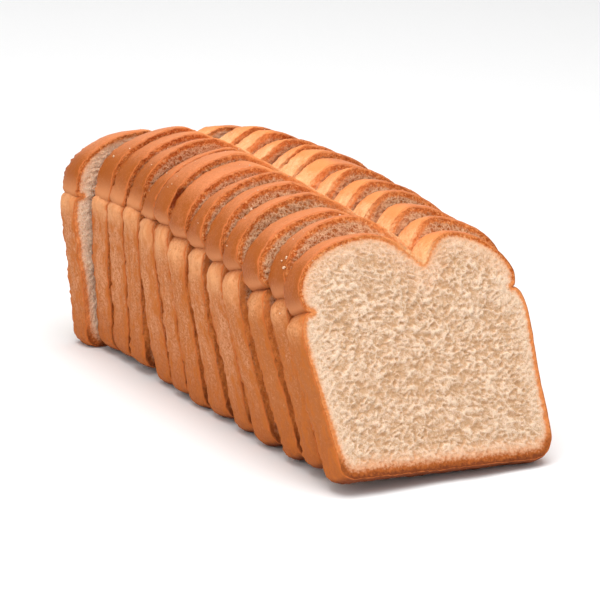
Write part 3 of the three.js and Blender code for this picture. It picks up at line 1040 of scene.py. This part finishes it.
class LOAF_OT_slices(bpy.types.Operator):
    """Make every slice of the loaf in place of its solid"""

    bl_idname = "loaf.slices"
    bl_label = "Slices"

    def execute(self, context):
        scene = context.scene
        material = bread_material(scene.loaf_colours)
        for k, form in enumerate(SLICES, start=1):
            mesh = build_slice(k, form, scene.loaf_shape)
            piece = add_piece(node_name(k) + "_bread", mesh, material)
            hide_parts(node_name(k))
        return {"FINISHED"}


def crumb_lump(rng, size):
    """One small uneven lump about the origin: an icosahedron pushed in and out."""
    g = (1 + 5**0.5) / 2
    corners = np.array([
        np.roll((x, y * g, 0.0), turn) for turn in range(3) for y in (1, -1) for x in (-1, 1)
    ]) / math.hypot(1, g)
    faces = np.array([
        (0, 11, 5), (0, 5, 1), (0, 1, 7), (0, 7, 10), (0, 10, 11), (1, 5, 9), (5, 11, 4),
        (11, 10, 2), (10, 7, 6), (7, 1, 8), (3, 9, 4), (3, 4, 2), (3, 2, 6), (3, 6, 8),
        (3, 8, 9), (4, 9, 5), (2, 4, 11), (6, 2, 10), (8, 6, 7), (9, 8, 1),
    ])
    mids, extra, split = {}, [], []

    def middle(a, b):
        key = (min(a, b), max(a, b))
        if key not in mids:
            mids[key] = len(corners) + len(extra)
            point = corners[a] + corners[b]
            extra.append(point / np.linalg.norm(point))
        return mids[key]

    for a, b, c in faces:
        ab, bc, ca = middle(a, b), middle(b, c), middle(c, a)
        split += [(a, ab, ca), (b, bc, ab), (c, ca, bc), (ab, bc, ca)]
    points = np.concatenate([corners, np.array(extra)])
    points = points * rng.uniform(0.6, 1.15, (len(points), 1)) * rng.uniform(0.6, 1.2, 3)
    return points * size / 2, np.array(split)


def loaf_tree():
    """The slices' surfaces as one tree for finding where a ray meets them."""
    points, faces = [], []
    for piece in bpy.data.objects:
        if piece.type == "MESH" and piece.name.endswith("_bread"):
            start = len(points)
            points += [v.co[:] for v in piece.data.vertices]
            faces += [tuple(start + k for k in f.vertices) for f in piece.data.polygons]
    if not faces:
        raise RuntimeError("make the slices before the crumbs")
    return BVHTree.FromPolygons(points, faces, all_triangles=True)


def crumb_places(rng):
    """Where crumbs are dropped and how large they are: the single ones, then the fine scatter."""
    low, high = (np.array(corner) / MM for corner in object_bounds())
    places = list(LOOSE_CRUMBS)
    for _ in range(FINE_CRUMBS):
        x, y = rng.uniform(low[:2], high[:2])
        places.append((x, y, rng.uniform(*FINE_CRUMB_SIZE)))
    return places


class LOAF_OT_crumbs(bpy.types.Operator):
    """Scatter loose crumbs over the crust and along the cut edges"""

    bl_idname = "loaf.crumbs"
    bl_label = "Loose crumbs"

    def execute(self, context):
        tree = loaf_tree()
        rng = np.random.default_rng(7)
        points, faces = [], []
        count = 0
        for x, y, size in crumb_places(rng):
            place, normal, _, _ = tree.ray_cast(Vector((x, y, CRUMB_FROM)) * MM, Vector((0, 0, -1)))
            if place is not None and normal.z > CRUMB_LEVEL and place.z > CRUMB_LOWEST * MM:
                lump, split = crumb_lump(rng, size * MM)
                points.append(lump + np.array(place + normal * size * MM * CRUMB_LIFT))
                faces.append(split + count)
                count += len(lump)
        points, faces = (np.concatenate(parts).tolist() for parts in (points, faces))
        mesh = new_mesh("loose_crumbs", points, faces)
        add_piece("loose_crumbs", mesh, crumb_material(context.scene.loaf_colours))
        return {"FINISHED"}


def add_sweep(azimuth, colours, half, depth, rise, bend, steps, drop):
    """The floor, which bends up into a wall far behind the loaf."""
    profile = [(-half, 0.0), (depth - bend, 0.0)]
    for k in range(1, steps + 1):
        turn = k / steps * math.pi / 2
        profile.append((depth - bend + bend * math.sin(turn), bend - bend * math.cos(turn)))
    profile.append((depth, rise))
    points = [(x, y, z - drop) for y, z in profile for x in (-half, half)]
    faces = [(2 * k, 2 * k + 1, 2 * k + 3, 2 * k + 2) for k in range(len(profile) - 1)]
    mesh = new_mesh("sweep", points, faces)
    mesh.materials.append(floor_material(colours))
    sweep = new_object("sweep", mesh)
    sweep.rotation_euler.z = azimuth
    sweep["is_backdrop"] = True


def add_light(name, place, size, power):
    """A soft square light that points at the loaf."""
    data = bpy.data.lights.new(name, "AREA")
    data.size = size
    data.energy = power
    light = new_object(name, data)
    light.location = place
    light.rotation_euler = (Vector(LIGHT_TARGET) - Vector(place)).to_track_quat("-Z", "Y").to_euler()


def add_room_light(scene, strength):
    """Even white light from all round, shown without any grading."""
    world = bpy.data.worlds.new("room")
    world.use_nodes = True
    sky = world.node_tree.nodes["Background"]
    sky.inputs["Color"].default_value = (1.0, 1.0, 1.0, 1.0)
    sky.inputs["Strength"].default_value = strength
    scene.world = world
    scene.view_settings.view_transform = "Standard"


def camera_axes(stage):
    """The camera's place, and its right, up and back directions."""
    a, e = stage.azimuth, stage.elevation
    back = Vector((math.sin(a) * math.cos(e), -math.cos(a) * math.cos(e), math.sin(e)))
    right = (-back).cross(Vector((0, 0, 1))).normalized()
    up = right.cross(-back)
    c, s = math.cos(stage.roll), math.sin(stage.roll)
    place = Vector(stage.target) + back * stage.distance
    return place, right * c + up * s, up * c - right * s, back


def add_camera(scene, stage):
    """The camera, at its angle and distance from the loaf."""
    place, right, up, back = camera_axes(stage)
    data = bpy.data.cameras.new("camera")
    data.sensor_width = SENSOR_WIDTH
    data.lens = stage.focal_pixels / PICTURE_WIDTH * data.sensor_width
    data.clip_end = 20.0
    camera = new_object("camera", data)
    axes = Matrix((right, up, back)).transposed()
    camera.matrix_world = Matrix.Translation(place) @ axes.to_4x4()
    scene.camera = camera


class LOAF_OT_stage(bpy.types.Operator):
    """Make the pale sweep, the soft lights and the camera"""

    bl_idname = "loaf.stage"
    bl_label = "Stage"

    def execute(self, context):
        scene = context.scene
        stage = scene.loaf_stage
        add_sweep(stage.azimuth, scene.loaf_colours, **SWEEP)
        add_light("top_light", power=stage.key_power, **TOP_LIGHT)
        add_light("side_light", power=stage.fill_power, **SIDE_LIGHT)
        add_room_light(scene, stage.world)
        add_camera(scene, stage)
        return {"FINISHED"}


GROUPS = {"loaf_shape": LoafShape, "loaf_colours": LoafColours, "loaf_stage": LoafStage}
OPERATORS = (LOAF_OT_slices, LOAF_OT_crumbs, LOAF_OT_stage)


class LOAF_PT_tools(bpy.types.Panel):
    """Lists the loaf's tools and what can be changed"""

    bl_label = "Sliced tin loaf"
    bl_idname = "LOAF_PT_tools"
    bl_space_type = "VIEW_3D"
    bl_region_type = "UI"
    bl_category = "Loaf"

    def draw(self, context):
        layout = self.layout
        for operator in OPERATORS:
            layout.operator(operator.bl_idname)
        for group in GROUPS:
            settings = getattr(context.scene, group)
            column = layout.column()
            for name in settings.bl_rna.properties.keys():
                if name not in ("rna_type", "name"):
                    column.prop(settings, name)


CLASSES = (*GROUPS.values(), *OPERATORS, LOAF_PT_tools)


def register():
    for cls in CLASSES:
        bpy.utils.register_class(cls)
    for name, group in GROUPS.items():
        setattr(bpy.types.Scene, name, bpy.props.PointerProperty(type=group))


def unregister():
    for name in GROUPS:
        delattr(bpy.types.Scene, name)
    for cls in reversed(CLASSES):
        bpy.utils.unregister_class(cls)


def main():
    register()
    bpy.ops.loaf.slices()
    bpy.ops.loaf.stage()
    bpy.ops.loaf.crumbs()


if __name__ == "__main__":
    main()
